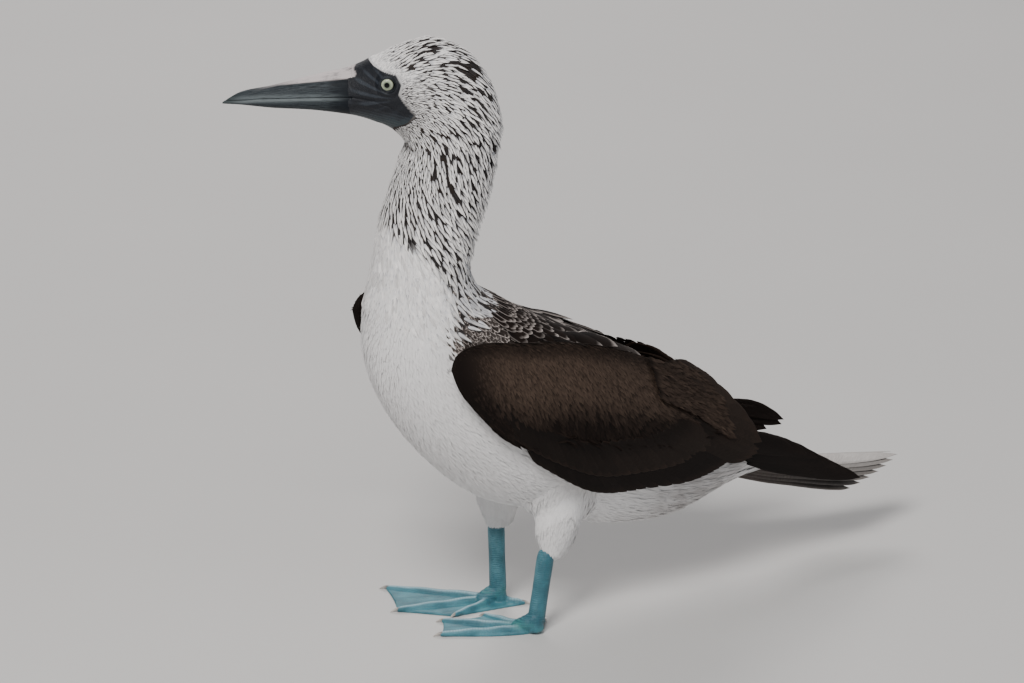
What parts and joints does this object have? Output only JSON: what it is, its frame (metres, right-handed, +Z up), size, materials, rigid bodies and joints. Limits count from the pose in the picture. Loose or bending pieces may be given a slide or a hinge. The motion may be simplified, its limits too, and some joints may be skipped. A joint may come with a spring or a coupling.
{
  "type": "blue-footed booby standing model",
  "caption": "Life-size still model of a blue-footed booby standing on both webbed feet, head turned to its right.",
  "frame": {"origin": "middle of the bounding box, on the floor under the feet", "axes": "+Z up, -X the way the body faces, +X towards the tail, -Y the bird's left side"},
  "size_m": [0.5244, 0.1696, 0.44],
  "materials": {
    "white_feather": "soft white breast, belly and thigh feathers",
    "streaked_feather": "narrow whitish plumes over dark brown",
    "brown_feather": "dark brown wing feathers, black-brown at the trailing edge",
    "tail_feather": "pale grey middle and brown-grey outer tail feathers",
    "bare_face": "smooth dark slate bare skin",
    "bill_horn": "slate blue horn with a satin surface",
    "eye": "wet pale yellow iris with a black pupil",
    "blue_skin": "turquoise scaled skin of legs and webs",
    "claw": "pale horn"
  },
  "bodies": {
    "root": {"torso": "white_feather", "neck": "streaked_feather", "head": "streaked_feather", "face_mask": "bare_face", "bill_upper": "bill_horn", "bill_lower": "bill_horn", "eye_left": "eye", "eye_right": "eye", "tail": "tail_feather", "wing_left": "brown_feather", "wing_right": "brown_feather", "thigh_left": "white_feather", "thigh_right": "white_feather", "tarsus_left": "blue_skin", "tarsus_right": "blue_skin", "foot_left": "blue_skin", "foot_right": "blue_skin", "claw_left_outer": "claw", "claw_left_middle": "claw", "claw_left_inner": "claw", "claw_left_hind": "claw", "claw_right_outer": "claw", "claw_right_middle": "claw", "claw_right_inner": "claw", "claw_right_hind": "claw"}
  },
  "joints": []
}
